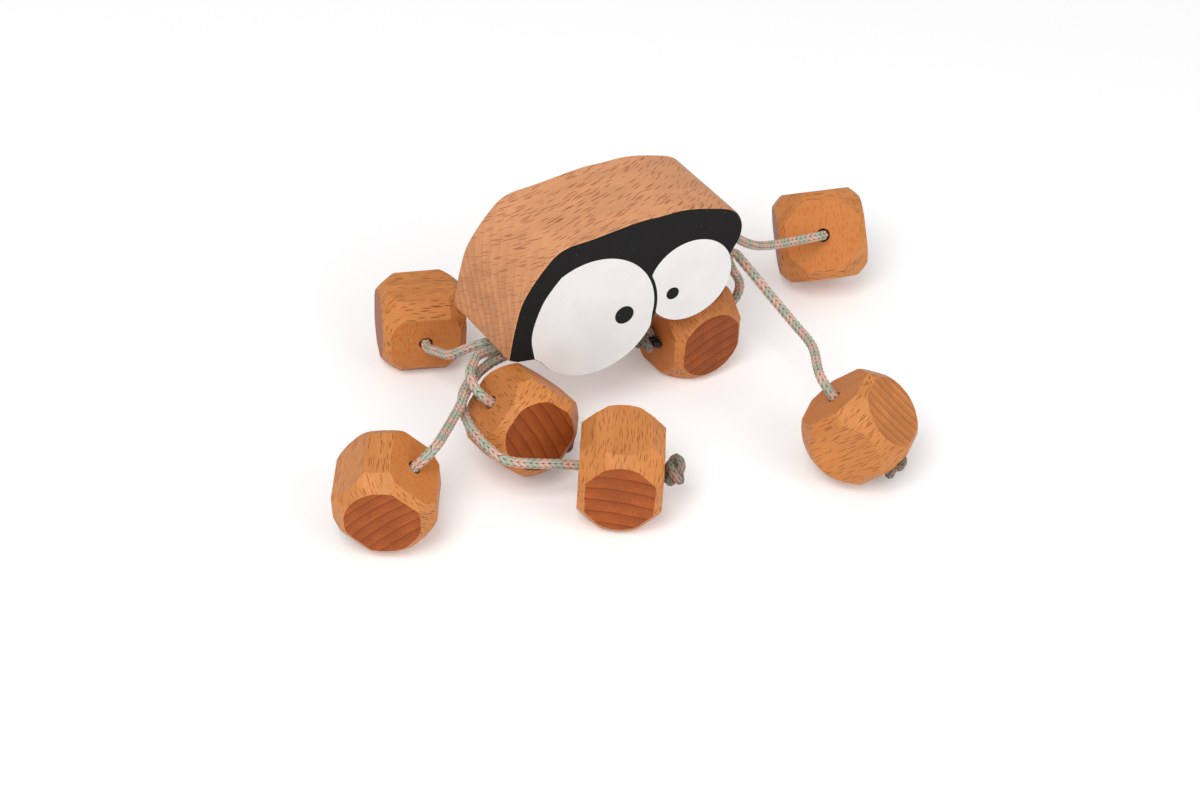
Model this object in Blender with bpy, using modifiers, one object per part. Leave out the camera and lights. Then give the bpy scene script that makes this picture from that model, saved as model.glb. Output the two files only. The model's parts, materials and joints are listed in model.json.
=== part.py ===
"""A wooden toy spider: a painted beech body, four cords drawn through it, and eight wooden feet.

The spider squats on its feet, faces -Y and has +Z up. Its origin is on the floor under the middle
of its body and feet. Lengths are metres; MM turns millimetres into metres.
"""

import math

import bmesh
import bpy
from mathutils import Matrix, Vector

MM = 0.001

# Body: a slab cut to a dome with two round lobes below it, lying rolled to one side. Its back lies
# BODY_LEAN further left than its face.
# The outline is in the body's own upright plane, in millimetres from FACE_POINT.
BODY_DEPTH = 33.5 * MM
BODY_LEAN = 2.6 * MM
BODY_ROLL = math.radians(16.0)
BODY_EDGE = 0.6 * MM
FACE_ACROSS = -5.2 * MM
FACE_BACK = -1.5 * MM
FACE_LEVEL = 44.9 * MM
FACE_POINT = Vector((FACE_ACROSS, FACE_BACK, FACE_LEVEL))
LEFT_SHOULDER_UNDERSIDE = ((-31.2, -6.0), (-36.2, -3.9))
DOME_OUTLINE = (
    (-38.7, -1.6), (-33.8, 9.2), (-28.8, 17.5), (-19.6, 25.2), (-12.9, 28.0), (-3.0, 26.6),
    (11.1, 24.6), (18.6, 22.6), (26.0, 20.6), (33.5, 16.9), (41.1, 11.6), (43.1, 5.8),
    (41.6, 0.6), (37.6, -3.7),
)
LEFT_LOBE = (-9.2, -1.4, 21.3)
RIGHT_LOBE = (22.3, -5.3, 14.8)
DOME_STEPS = 3
LOBE_STEP = math.radians(10.0)
LOBE_JOIN = math.radians(6.0)

# Cords: four lengths of braid, side by side in one straight bore below the shoulders
CORD_DIAMETER = 3.1 * MM
CORD_GAP = 0.3 * MM
BORE_LEVEL = -11.0 * MM
BORE_BACK = 16.0 * MM
BORE_CLEARANCE = 0.35 * MM
BORE_SIDES = 40
BORE_LEFT = -32.0 * MM
BORE_RIGHT = 38.5 * MM
BORE_TURN = 1.5 * MM
BORE_STEPS = 9
CORD_STEP = 1.3 * CORD_DIAMETER
CORD_END_RINGS = 3
LEAD_IN = 0.5 * MM
ENTRY_BEND = 7.0 * MM
ENTRY_STRAIGHT = 3.0 * MM
ENTRY_STEP = math.radians(22.0)
HOLE_STEPS = 8

# Feet: sanded blocks, drilled across the grain
FOOT_LENGTH = 24.8 * MM
FOOT_CHAMFER = 3.4 * MM
FOOT_END_CHAMFER = 2.2 * MM
FOOT_CROWN = 3.9 * MM
FOOT_HOLE = 4.3 * MM
HOLE_SIDES = 24

# Knots: an overhand knot in each cord's end, drawn up to its foot
KNOT_THICKNESS = 6.4 * MM
KNOT_WIDTH = 9.0 * MM
KNOT_BULGE = 0.5 * MM
KNOT_BULGES = 3
KNOT_SEAT = 0.06 * MM
TAIL_LENGTH = 5.0 * MM
TAIL_DIAMETER = 2.9 * MM
TAIL_SIDES = 12
TAIL_DIRECTION = Vector((0.35, 0.85, 0.40)).normalized()
WELD = 0.00002


class Leg:
    """One foot's place and lie, and the way its cord comes to it.

    grain is the foot's size along its grain, width its size across the grain and the hole, and
    chamfer how much of its edges along the grain is cut off. The hole points along heading and
    down by dip, and twist turns the foot about it. held are the points that the cord passes from
    the bore to its hinge, where the loose cord starts, and via the points that this passes on its
    way to the foot, all in millimetres.
    """

    def __init__(self, number, grain, width, chamfer, spot, heading, dip, twist, held, via):
        self.number = number
        self.grain = grain * MM
        self.width = width * MM
        self.chamfer = chamfer * MM
        self.spot = Vector((spot[0], spot[1], 0.0)) * MM
        self.hole_turn = (
            Matrix.Rotation(math.radians(heading), 4, "Z")
            @ Matrix.Rotation(math.radians(dip), 4, "Y")
        )
        self.turn = self.hole_turn @ Matrix.Rotation(math.radians(twist), 4, "X")
        self.held = [Vector(point) * MM for point in held]
        self.hinge = self.held[-1]
        self.via = [Vector(point) * MM for point in via]
        self.along = self.turn.to_3x3() @ Vector((1.0, 0.0, 0.0))
        self.centre = self.spot.copy()

    def on_hole(self, distance):
        """A point of the hole's axis, distance past the foot's middle towards the knot."""
        return self.centre + self.along * distance


LEGS = (
    Leg(1, 26.0, 26.3, 4.2, (-46.3, 51.6), 74.0, 0.0, 0.0, ((-41.6, 17.8, 25.8),),
        ((-45.2, 20.4, 23.2), (-48.6, 24.8, 18.8))),
    Leg(2, 27.6, 27.5, 5.0, (-90.6, -22.9), 148.3, 49.8, -4.2, ((-42.4, 9.8, 24.2),),
        ((-48.4, 5.8, 24.9), (-54.8, -0.6, 25.4), (-60.6, -7.6, 25.7), (-66.4, -14.2, 26.6))),
    Leg(3, 26.1, 26.5, 3.4, (-41.2, -10.2), -14.0, 39.0, -18.0, ((-42.0, 11.2, 27.6),),
        ((-47.4, 8.6, 29.2),)),
    Leg(4, 29.2, 28.6, 3.9, (-23.0, -39.5), -29.1, 0.0, 0.0,
        ((-42.2, 13.0, 20.9), (-48.4, 9.2, 21.0), (-54.0, 3.6, 21.2), (-57.8, -3.9, 21.3),
         (-59.3, -12.5, 21.2)),
        ((-58.0, -21.2, 20.0), (-53.6, -27.6, 17.8))),
    Leg(5, 27.1, 27.5, 2.0, (29.4, 16.8), 186.5, 0.0, 0.0, ((41.4, 17.0, 40.0),),
        ((42.9, 17.6, 34.6), (45.4, 18.2, 29.0))),
    Leg(6, 28.2, 28.6, 2.6, (90.1, 37.7), 62.0, 34.0, -10.0, ((41.8, 13.4, 45.4),),
        ((47.4, 15.0, 40.6), (54.4, 18.4, 35.4), (63.6, 22.3, 30.9), (71.4, 24.4, 28.7))),
    Leg(7, 26.9, 27.3, 2.4, (49.9, -53.6), -45.0, 45.0, 95.0, ((41.0, 9.8, 41.4),),
        ((44.4, 4.0, 36.4), (47.2, -3.0, 31.9), (48.8, -14.0, 29.0), (48.3, -26.0, 28.7))),
    Leg(8, 26.6, 27.0, 2.6, (20.0, 54.0), 140.0, 0.0, 0.0, ((40.0, 19.4, 45.4),),
        ((42.6, 23.6, 39.4), (43.2, 28.8, 31.4), (42.0, 34.2, 23.0))),
)

# The two legs that each through cord ends in, then its row (1 is up) and side (1 is back)
THROUGH_CORDS = ((1, 8, 1, 1), (3, 6, 1, -1), (2, 7, -1, -1), (4, 5, -1, 1))


def new_material(name, colour, roughness):
    """A plain Principled material."""
    material = bpy.data.materials.new(name)
    material.use_nodes = True
    shader = material.node_tree.nodes["Principled BSDF"]
    shader.inputs["Base Color"].default_value = (*colour, 1.0)
    shader.inputs["Roughness"].default_value = roughness
    shader.inputs["Metallic"].default_value = 0.0
    return material


def add_object(name, data, material, collection):
    """An object of the model, in its collection and with its material."""
    item = bpy.data.objects.new(name, data)
    data.materials.append(material)
    collection.objects.link(item)
    return item


def mesh_from(name, shape):
    """A mesh made from a finished bmesh, shaded smooth but for its edges."""
    mesh = bpy.data.meshes.new(name)
    shape.to_mesh(mesh)
    shape.free()
    mesh.shade_smooth()
    mesh.set_sharp_from_angle(angle=math.radians(25.0))
    return mesh


def smooth_points(route, step):
    """Points about step apart on the smooth curve through the route's own points."""
    knots = [route[0] * 2.0 - route[1], *route, route[-1] * 2.0 - route[-2]]
    points = []
    for start in range(len(knots) - 3):
        before, here, there, after = knots[start:start + 4]
        count = max(1, round((there - here).length / step))
        for index in range(count):
            t = index / count
            points.append(0.5 * (
                2.0 * here
                + (there - before) * t
                + (2.0 * before - 5.0 * here + 4.0 * there - after) * t * t
                + (3.0 * here - before - 3.0 * there + after) * t * t * t
            ))
    return [*points, route[-1].copy()]


def round_start(points, radius):
    """Rings that round off the cord's first end into a half ball about its first point."""
    back = (points[0] - points[1]).normalized()
    rings = []
    for index in range(CORD_END_RINGS):
        angle = math.radians(20.0 + 70.0 * index / CORD_END_RINGS)
        rings.append((points[0] + back * radius * math.cos(angle), math.sin(angle)))
    return rings


def cord_tube(name, rings, material, collection):
    """A cord as a round tube through rings, each a point and a share of the full radius."""
    curve = bpy.data.curves.new(name, "CURVE")
    curve.dimensions = "3D"
    curve.bevel_depth = CORD_DIAMETER / 2.0
    curve.bevel_resolution = 2
    curve.use_fill_caps = True
    spline = curve.splines.new("POLY")
    spline.points.add(len(rings) - 1)
    for target, (point, share) in zip(spline.points, rings):
        target.co = (*point, 1.0)
        target.radius = share
    return add_object(name, curve, material, collection)


def face_to_world(across, up, back=0.0):
    """The place of a point of the body's own plane, across and up from FACE_POINT, back from it."""
    flat = Vector((across, back, up))
    return FACE_POINT + Matrix.Rotation(-BODY_ROLL, 3, "Y") @ flat


def lobe_arc(lobe, start, end):
    """Points on a lobe's circle from the angle start to the angle end, clockwise."""
    count = max(2, round((start - end) / LOBE_STEP))
    x, y, radius = lobe
    angles = [start + (end - start) * index / count for index in range(count + 1)]
    return [(x + radius * math.cos(a), y + radius * math.sin(a)) for a in angles]


def lobe_notch():
    """The point below the face where the two lobes' circles meet."""
    left, right = Vector(LEFT_LOBE[:2]), Vector(RIGHT_LOBE[:2])
    between = right - left
    distance = between.length
    reach = (LEFT_LOBE[2] ** 2 - RIGHT_LOBE[2] ** 2 + distance ** 2) / (2.0 * distance)
    rise = math.sqrt(LEFT_LOBE[2] ** 2 - reach ** 2)
    along = between / distance
    return left + along * reach + Vector((along.y, -along.x)) * rise


def angle_on(lobe, point):
    """The direction of a point from a lobe's centre, below the horizontal as a negative angle."""
    angle = math.atan2(point[1] - lobe[1], point[0] - lobe[0])
    return angle if angle <= math.radians(45.0) else angle - math.tau


def body_outline():
    """The body's outline in its own plane, in millimetres, clockwise from the left shoulder."""
    corners = [Vector((x, y, 0.0)) for x, y in DOME_OUTLINE]
    span = sum((a - b).length for a, b in zip(corners, corners[1:]))
    dome = smooth_points(corners, span / (DOME_STEPS * (len(corners) - 1)))
    points = [(point.x, point.y) for point in dome]
    notch = lobe_notch()
    points += lobe_arc(
        RIGHT_LOBE, angle_on(RIGHT_LOBE, points[-1]) - LOBE_JOIN, angle_on(RIGHT_LOBE, notch)
    )
    points += lobe_arc(
        LEFT_LOBE, angle_on(LEFT_LOBE, notch),
        angle_on(LEFT_LOBE, LEFT_SHOULDER_UNDERSIDE[0]) + LOBE_JOIN,
    )[1:]
    return [*points, *LEFT_SHOULDER_UNDERSIDE]


def bore_point(across, row, side):
    """A point of one cord's line in the bore, across the body, in metres from FACE_POINT."""
    offset = (CORD_DIAMETER + CORD_GAP) / 2.0
    return face_to_world(across, BORE_LEVEL + row * offset, BORE_BACK + side * offset)


def bore_radius():
    """The bore that holds four cords two by two, each CORD_GAP from the next."""
    return (CORD_DIAMETER + CORD_GAP) / math.sqrt(2.0) + CORD_DIAMETER / 2.0 + BORE_CLEARANCE


def cylinder_cutter(name, radius, length, sides, collection):
    """A cylinder along X, about the origin, that only cuts."""
    shape = bmesh.new()
    bmesh.ops.create_cone(
        shape, cap_ends=True, segments=sides, radius1=radius, radius2=radius, depth=length,
        matrix=Matrix.Rotation(math.radians(90.0), 4, "Y"),
    )
    mesh = bpy.data.meshes.new(name)
    shape.to_mesh(mesh)
    shape.free()
    cutter = bpy.data.objects.new(name, mesh)
    cutter.hide_render = True
    cutter.display_type = "WIRE"
    collection.objects.link(cutter)
    return cutter


def cut_away(item, cutter):
    """A live Boolean on item that takes the cutter away."""
    boolean = item.modifiers.new(cutter.name, "BOOLEAN")
    boolean.operation = "DIFFERENCE"
    boolean.solver = "EXACT"
    boolean.object = cutter


def make_body(material, parts, cutters):
    """The body: its outline cut from a slab, edges eased, bored from side to side."""
    curve = bpy.data.curves.new("body_outline", "CURVE")
    curve.dimensions = "2D"
    curve.fill_mode = "BOTH"
    curve.extrude = BODY_DEPTH / 2.0
    spline = curve.splines.new("POLY")
    outline = body_outline()
    spline.points.add(len(outline) - 1)
    for target, (x, y) in zip(spline.points, outline):
        target.co = (x * MM, y * MM, 0.0, 1.0)
    spline.use_cyclic_u = True
    slab = bpy.data.objects.new("body_outline", curve)
    parts.objects.link(slab)
    mesh = solid_copy("body_block", slab)
    upright = Matrix.Rotation(math.radians(90.0), 4, "X")
    mesh.transform(Matrix.Translation((0.0, BODY_DEPTH / 2.0, 0.0)) @ upright)
    lean = Matrix.Identity(4)
    lean[0][1] = -BODY_LEAN / BODY_DEPTH
    mesh.transform(lean)
    body = add_object("body_block", mesh, material, parts)
    body.location = FACE_POINT
    body.rotation_euler = (0.0, -BODY_ROLL, 0.0)
    edges = body.modifiers.new("eased_edges", "BEVEL")
    edges.width = BODY_EDGE
    edges.segments = 1
    edges.limit_method = "ANGLE"
    edges.angle_limit = math.radians(50.0)
    bore = cylinder_cutter("bore_cutter", bore_radius(), 4.0 * BODY_DEPTH, BORE_SIDES, cutters)
    bore.location = face_to_world(0.0, BORE_LEVEL, BORE_BACK)
    bore.rotation_euler = body.rotation_euler
    cut_away(body, bore)
    return body


def solid_copy(name, item):
    """The evaluated shape of item as a mesh with its seams welded; item itself is removed."""
    bpy.context.view_layer.update()
    shape = bmesh.new()
    evaluated = item.evaluated_get(bpy.context.evaluated_depsgraph_get())
    mesh = bpy.data.meshes.new_from_object(evaluated)
    shape.from_mesh(mesh)
    bpy.data.meshes.remove(mesh)
    bpy.data.objects.remove(item)
    bmesh.ops.remove_doubles(shape, verts=shape.verts, dist=WELD)
    bmesh.ops.recalc_face_normals(shape, faces=shape.faces)
    return mesh_from(name, shape)


def slice_off(shape, normal, distance):
    """Cut a closed shape flat, square to normal at the distance from the origin."""
    cut = bmesh.ops.bisect_plane(
        shape, geom=[*shape.verts, *shape.edges, *shape.faces], dist=WELD / 10.0,
        plane_co=normal * distance, plane_no=normal, clear_outer=True,
    )
    rim = [item for item in cut["geom_cut"] if isinstance(item, bmesh.types.BMEdge)]
    bmesh.ops.edgeloop_fill(shape, edges=rim)


def make_foot(leg, hole, material, parts):
    """A foot: a ball cut flat on six sides and along twelve edges, drilled along X."""
    half = Vector((FOOT_LENGTH, leg.grain, leg.width)) / 2.0
    shape = bmesh.new()
    bmesh.ops.create_icosphere(shape, subdivisions=3, radius=leg.grain / 2.0 + FOOT_CROWN)
    axes = (Vector((1.0, 0.0, 0.0)), Vector((0.0, 1.0, 0.0)), Vector((0.0, 0.0, 1.0)))
    for axis, reach in zip(axes, half):
        for sign in (1.0, -1.0):
            slice_off(shape, axis * sign, reach)
    for first, second, setback in ((0, 1, FOOT_END_CHAMFER), (0, 2, leg.chamfer),
                                   (1, 2, FOOT_CHAMFER)):
        reach = (half[first] + half[second] - setback) / math.sqrt(2.0)
        for sign in (1.0, -1.0):
            for other in (1.0, -1.0):
                slice_off(
                    shape, (axes[first] * sign + axes[second] * other).normalized(), reach
                )
    name = f"foot_{leg.number}"
    blank = bpy.data.objects.new(name, mesh_from(name, shape))
    parts.objects.link(blank)
    cut_away(blank, hole)
    foot = add_object(name, solid_copy(name, blank), material, parts)
    lowest = min((leg.turn @ vertex.co).z for vertex in foot.data.vertices)
    leg.centre = leg.spot - Vector((0.0, 0.0, lowest))
    foot.matrix_world = Matrix.Translation(leg.centre) @ leg.turn
    return foot


def knot_place(leg):
    """How far past the foot's middle its knot's middle lies: seated in the hole's mouth."""
    return FOOT_LENGTH / 2.0 + KNOT_THICKNESS / 2.0 - KNOT_SEAT


def make_knot(leg, tail, material, parts):
    """A knot: a squat ball with three bulges, and the cord's short tail out of its side."""
    shape = bmesh.new()
    bmesh.ops.create_uvsphere(shape, u_segments=24, v_segments=12, radius=1.0)
    for vertex in shape.verts:
        x, y, z = vertex.co
        around = math.atan2(y, x)
        wide = KNOT_WIDTH / 2.0 + KNOT_BULGE * math.cos(KNOT_BULGES * around + 2.0 * z)
        vertex.co = (z * KNOT_THICKNESS / 2.0, x * wide, y * wide)
    bmesh.ops.recalc_face_normals(shape, faces=shape.faces)
    name = f"knot_{leg.number}"
    ball = bpy.data.objects.new(name, mesh_from(name, shape))
    parts.objects.link(ball)
    union = ball.modifiers.new("tail", "BOOLEAN")
    union.operation = "UNION"
    union.solver = "EXACT"
    union.object = tail
    knot = add_object(name, solid_copy(name, ball), material, parts)
    knot.matrix_world = Matrix.Translation(leg.on_hole(knot_place(leg))) @ leg.hole_turn
    return knot


def entry_arc(leg):
    """The cord's round turn from its last via point into line with the hole."""
    start = leg.on_hole(-FOOT_LENGTH / 2.0 - LEAD_IN)
    away = leg.via[-1] - start
    back = -leg.along
    level = away.dot(back)
    side = (away - back * level).normalized()
    rise = away.dot(side) - ENTRY_BEND
    turn = math.radians(90.0) + math.atan2(rise, level) - math.acos(
        ENTRY_BEND / math.hypot(rise, level)
    )
    count = max(1, round(turn / ENTRY_STEP))
    angles = [turn * index / count for index in range(count, -1, -1)]
    arc = [start + (back * math.sin(angle) + side * (1.0 - math.cos(angle))) * ENTRY_BEND
           for angle in angles]
    return [arc[0] + (back * math.cos(turn) + side * math.sin(turn)) * ENTRY_STRAIGHT, *arc]


def leg_route(leg):
    """The points that a leg's cord passes, from its hinge point to where its knot starts."""
    mouth = FOOT_LENGTH / 2.0
    span = FOOT_LENGTH - KNOT_SEAT - CORD_GAP
    inside = [leg.on_hole(span * step / HOLE_STEPS - mouth) for step in range(1, HOLE_STEPS + 1)]
    return [leg.hinge, *leg.via, *entry_arc(leg), *inside]


def make_leg_cord(leg, material, parts):
    """The loose cord of one leg, from its hinge point through the foot's hole to the knot."""
    points = smooth_points([point - leg.hinge for point in leg_route(leg)], CORD_STEP)
    rings = round_start(points, CORD_DIAMETER / 2.0) + [(point, 1.0) for point in points]
    cord = cord_tube(f"leg_cord_{leg.number}", rings, material, parts)
    cord.location = leg.hinge
    return cord


def make_through_cord(left, right, row, side, material, parts):
    """The held middle of one cord, through the bore to just short of its two legs' hinges."""
    turns = (BORE_LEFT + BORE_TURN, BORE_RIGHT - BORE_TURN)
    across = [turns[0] + (turns[1] - turns[0]) * index / BORE_STEPS
              for index in range(BORE_STEPS + 1)]
    inside = [bore_point(distance, row, side) for distance in (BORE_LEFT, *across, BORE_RIGHT)]
    route = [*reversed(left.held), *inside, *right.held]
    clear = CORD_DIAMETER / 2.0 + CORD_GAP
    route[0] = route[0] + (route[1] - route[0]).normalized() * clear
    route[-1] = route[-1] + (route[-2] - route[-1]).normalized() * clear
    points = smooth_points(route, CORD_STEP)
    name = f"through_cord_{left.number}_{right.number}"
    return cord_tube(name, [(point, 1.0) for point in points], material, parts)


def attach(child, parent):
    """Parent child without moving it."""
    bpy.context.view_layer.update()
    child.parent = parent
    child.matrix_parent_inverse = parent.matrix_world.inverted()


def main():
    """Clear the scene and build the toy."""
    for item in list(bpy.data.objects):
        bpy.data.objects.remove(item)
    parts = bpy.data.collections.new("toy_spider")
    cutters = bpy.data.collections.new("cutters")
    bpy.context.scene.collection.children.link(parts)
    bpy.context.scene.collection.children.link(cutters)
    body_wood = new_material("body_beech", (0.62, 0.33, 0.18), 0.55)
    foot_wood = new_material("foot_beech", (0.60, 0.28, 0.11), 0.5)
    braid = new_material("cord_braid", (0.47, 0.42, 0.36), 0.85)

    body = make_body(body_wood, parts, cutters)
    hole = cylinder_cutter("hole_cutter", FOOT_HOLE / 2.0, 2.0 * FOOT_LENGTH, HOLE_SIDES, cutters)
    tail = cylinder_cutter("tail_joiner", TAIL_DIAMETER / 2.0, TAIL_LENGTH, TAIL_SIDES, cutters)
    tail.location = TAIL_DIRECTION * KNOT_WIDTH / 2.0
    tail.rotation_euler = TAIL_DIRECTION.to_track_quat("X", "Z").to_euler()
    legs = {leg.number: leg for leg in LEGS}
    for leg in LEGS:
        foot = make_foot(leg, hole, foot_wood, parts)
        cord = make_leg_cord(leg, braid, parts)
        knot = make_knot(leg, tail, braid, parts)
        attach(foot, cord)
        attach(knot, cord)
        attach(cord, body)
    for left, right, row, side in THROUGH_CORDS:
        cord = make_through_cord(legs[left], legs[right], row, side, braid, parts)
        attach(cord, body)


main()
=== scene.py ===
"""A wooden toy spider: beech body with a painted face, braided cords, eight wooden feet.

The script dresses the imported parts: it puts finer shapes and finishes in their places, and it adds
a pale floor, soft light and a camera. Lengths are metres.
"""

import json
import math
from collections import namedtuple
from itertools import product

import bmesh
import bpy
import numpy as np
from bpy.props import FloatProperty, FloatVectorProperty, IntProperty, PointerProperty
from mathutils import Matrix, Vector


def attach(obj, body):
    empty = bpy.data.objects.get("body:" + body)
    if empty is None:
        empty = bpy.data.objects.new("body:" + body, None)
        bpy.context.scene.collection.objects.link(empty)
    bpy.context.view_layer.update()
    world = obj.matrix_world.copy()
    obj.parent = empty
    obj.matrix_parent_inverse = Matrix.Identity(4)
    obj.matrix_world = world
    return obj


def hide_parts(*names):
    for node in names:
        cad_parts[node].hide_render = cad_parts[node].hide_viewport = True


bl_info = {
    "name": "Wooden Toy Spider",
    "version": (1, 0, 0),
    "blender": (4, 5, 0),
    "location": "View3D > Sidebar > Toy Spider",
    "description": "Builds a wooden toy spider with a painted face, cord legs and wooden feet",
    "category": "Object",
}

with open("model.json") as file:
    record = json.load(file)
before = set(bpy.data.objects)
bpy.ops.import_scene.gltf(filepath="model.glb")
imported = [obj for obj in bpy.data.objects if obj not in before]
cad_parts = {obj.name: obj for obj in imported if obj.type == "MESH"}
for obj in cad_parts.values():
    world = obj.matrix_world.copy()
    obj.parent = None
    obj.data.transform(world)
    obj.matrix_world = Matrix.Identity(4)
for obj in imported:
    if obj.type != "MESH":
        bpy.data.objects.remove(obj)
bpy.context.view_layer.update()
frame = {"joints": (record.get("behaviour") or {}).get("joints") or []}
JOINTS = {joint["name"]: joint for joint in frame["joints"]}

# The body: the middle of its face, how far it rolls to one side, and its outline in its own plane,
# across and up from that middle. Its lobes are circles as (across, up, radius), whose arcs stop
# short of the rest of the outline by LOBE_JOIN, and its back lies further left by BODY_LEAN
FACE_POINT = (-0.0052, -0.0015, 0.0449)
BODY_ROLL = math.radians(16.0)
LEFT_SHOULDER_UNDERSIDE = ((-0.0312, -0.0060), (-0.0362, -0.0039))
DOME_OUTLINE = (
    (-0.0387, -0.0016), (-0.0338, 0.0092), (-0.0288, 0.0175), (-0.0196, 0.0252),
    (-0.0129, 0.0280), (-0.0030, 0.0266), (0.0111, 0.0246), (0.0186, 0.0226),
    (0.0260, 0.0206), (0.0335, 0.0169), (0.0411, 0.0116), (0.0431, 0.0058),
    (0.0416, 0.0006), (0.0376, -0.0037),
)
LEFT_LOBE = (-0.0092, -0.0014, 0.0213)
RIGHT_LOBE = (0.0223, -0.0053, 0.0148)
LOBE_JOIN = math.radians(6.0)
BODY_LEAN = 0.0026

# The painted eyes: circles as (across, up, radius), the large one flatter towards the shoulder
LEFT_EYE = (-0.0103, -0.0016, 0.0209)
LEFT_EYE_FLAT = (
    (-0.0197, 0.0160), (-0.0237, 0.0125), (-0.0277, 0.0069), (-0.0301, 0.0015), (-0.0309, -0.0057)
)
RIGHT_EYE = (0.0227, -0.0059, 0.0143)
LEFT_PUPIL = (-0.0003, -0.0063)
RIGHT_PUPIL = (0.0162, -0.0075)
EYE_GAP = 0.0011

# How far the painted eyes stay inside the body's edge
PAINT_INSET = 0.0002

# The bore, how far inside its ends the held cords turn and how far each lies from its axis, and the
# length of a drill that goes through any piece
BORE_LEVEL = -0.0110
BORE_BACK = 0.0160
BORE_RADIUS = 0.0043
BORE_ENDS = (-0.0320, 0.0385)
BORE_TURN = 0.0015
BORE_STEPS = 9
CORD_OFFSET = 0.0017
DRILL_LENGTH = 0.13

# A foot's length along its hole, and how far short of the hole's far end its loose cord stops
FOOT_LENGTH = 0.0248
CORD_SHORT = 0.00036
HOLE_STEPS = 8

# The cord's turn into a hole: its radius, how far before the hole it ends, the straight stretch
# before it and its steps
ENTRY_BEND = 0.0070
ENTRY_GAP = 0.0005
ENTRY_LEAD = 0.003
ENTRY_STEP = math.radians(22.0)

# How much the flats of a foot differ in depth and lean, what settles it for each flat and foot, how
# near to a cut a corner lies on it, and how near to each other corners are joined
FLAT_UNEVEN = 0.0003
FLAT_LEAN = 0.02
FLAT_SEED = Vector((12.9, 7.3, 4.1))
FOOT_SEED = 3.7
CUT_TOUCH = 0.000001
CORNER_JOIN = 0.00006

# Knots and held cords: how much of its thickness the drawn cord keeps, how far each knot is turned
# past the one before, and how much of its tail is melted
KNOT_DRAWN = 0.9
HELD_DRAWN = 0.99
KNOT_TURN = math.radians(40.0)
TAIL_MELTED = 0.0030

# How finely outlines, arcs, cords and their braid are followed
OUTLINE_STEP = 0.0009
EYE_STEP = 0.0008
ARC_STEP = math.radians(3.0)
ROUTE_STEP = 0.0005
BRAID_STEP = 0.00025
STITCH_SIDES = 7

# Each leg: the foot's size along its grain, its width, and how much of its edges along the grain is
# cut off, the hole's heading and dip and the foot's twist about it in degrees, the cord's points
# from the bore to its hinge, and its points on to the foot
Leg = namedtuple("Leg", "grain width chamfer heading dip twist held via")
LEGS = {
    1: Leg(0.0260, 0.0263, 0.0042, 74.0, 0.0, 0.0, (),
           ((-0.0452, 0.0204, 0.0232), (-0.0486, 0.0248, 0.0188))),
    2: Leg(0.0276, 0.0275, 0.0050, 148.3, 49.8, -4.2, (),
           ((-0.0484, 0.0058, 0.0249), (-0.0548, -0.0006, 0.0254), (-0.0606, -0.0076, 0.0257),
            (-0.0664, -0.0142, 0.0266))),
    3: Leg(0.0261, 0.0265, 0.0034, -14.0, 39.0, -18.0, (), ((-0.0474, 0.0086, 0.0292),)),
    4: Leg(0.0292, 0.0286, 0.0039, -29.1, 0.0, 0.0,
           ((-0.0422, 0.0130, 0.0209), (-0.0484, 0.0092, 0.0210), (-0.0540, 0.0036, 0.0212),
            (-0.0578, -0.0039, 0.0213)),
           ((-0.0580, -0.0212, 0.0200), (-0.0536, -0.0276, 0.0178))),
    5: Leg(0.0271, 0.0275, 0.0020, 186.5, 0.0, 0.0, (),
           ((0.0429, 0.0176, 0.0346), (0.0454, 0.0182, 0.0290))),
    6: Leg(0.0282, 0.0286, 0.0026, 62.0, 34.0, -10.0, (),
           ((0.0474, 0.0150, 0.0406), (0.0544, 0.0184, 0.0354), (0.0636, 0.0223, 0.0309),
            (0.0714, 0.0244, 0.0287))),
    7: Leg(0.0269, 0.0273, 0.0024, -45.0, 45.0, 95.0, (),
           ((0.0444, 0.0040, 0.0364), (0.0472, -0.0030, 0.0319), (0.0488, -0.0140, 0.0290),
            (0.0483, -0.0260, 0.0287))),
    8: Leg(0.0266, 0.0270, 0.0026, 140.0, 0.0, 0.0, (),
           ((0.0426, 0.0236, 0.0394), (0.0432, 0.0288, 0.0314), (0.0420, 0.0342, 0.0230))),
}

# A piece's beech: a number that settles its pattern, its rings' width in millimetres and how far
# they wander, each ray's room in millimetres along the fibres, across and outwards, how dark the
# rings are on the end grain, and between which turns to the fibres a surface becomes end grain
Cut = namedtuple("Cut", "seed ring waves ray dark turn")
BODY_CUT = Cut(3.0, 3.2, 1.2, (6.4, 0.30, 8.0), 0.50, (0.45, 0.95))
BODY_RINGS = math.radians(30.0)
MILLIMETRES = 1000.0

# How far each foot's rings lie turned about its grain, in degrees, their width in millimetres,
# how light its end grain is beside the others and how much it has of the sides' colour. These last
# two are partly the wood's own tone and partly painted light and shade: feet 3 and 5, under the
# body, get painted shade, and foot 7, lit from the right, gets painted light in its lighter end
# grain
GRAINS_AND_PAINTED_LIGHT = {
    1: (12.0, 3.6, 0.90, 0.0), 2: (-8.0, 3.2, 0.90, 0.0), 3: (24.0, 3.4, 0.70, 0.0),
    4: (7.5, 4.2, 0.92, 0.0), 5: (18.0, 3.6, 0.80, 0.0), 6: (-15.0, 3.4, 0.90, 0.0),
    7: (7.0, 2.9, 0.96, 0.8), 8: (40.0, 3.6, 1.0, 0.0),
}

# The two legs that each through cord joins, then its row (1 is up) and side (1 is back)
THROUGH_CORDS = ((1, 8, 1, 1), (3, 6, 1, -1), (2, 7, -1, -1), (4, 5, -1, 1))

# The camera's place, the directions to the right and down in its picture, and its focal length
CAMERA_PLACE = Vector((-0.3474, -0.5978, 0.5389))
CAMERA_RIGHT = Vector((0.888, -0.456, 0.052))
CAMERA_DOWN = Vector((-0.244, -0.564, -0.789))
CAMERA_LENS = 85.2


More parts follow.
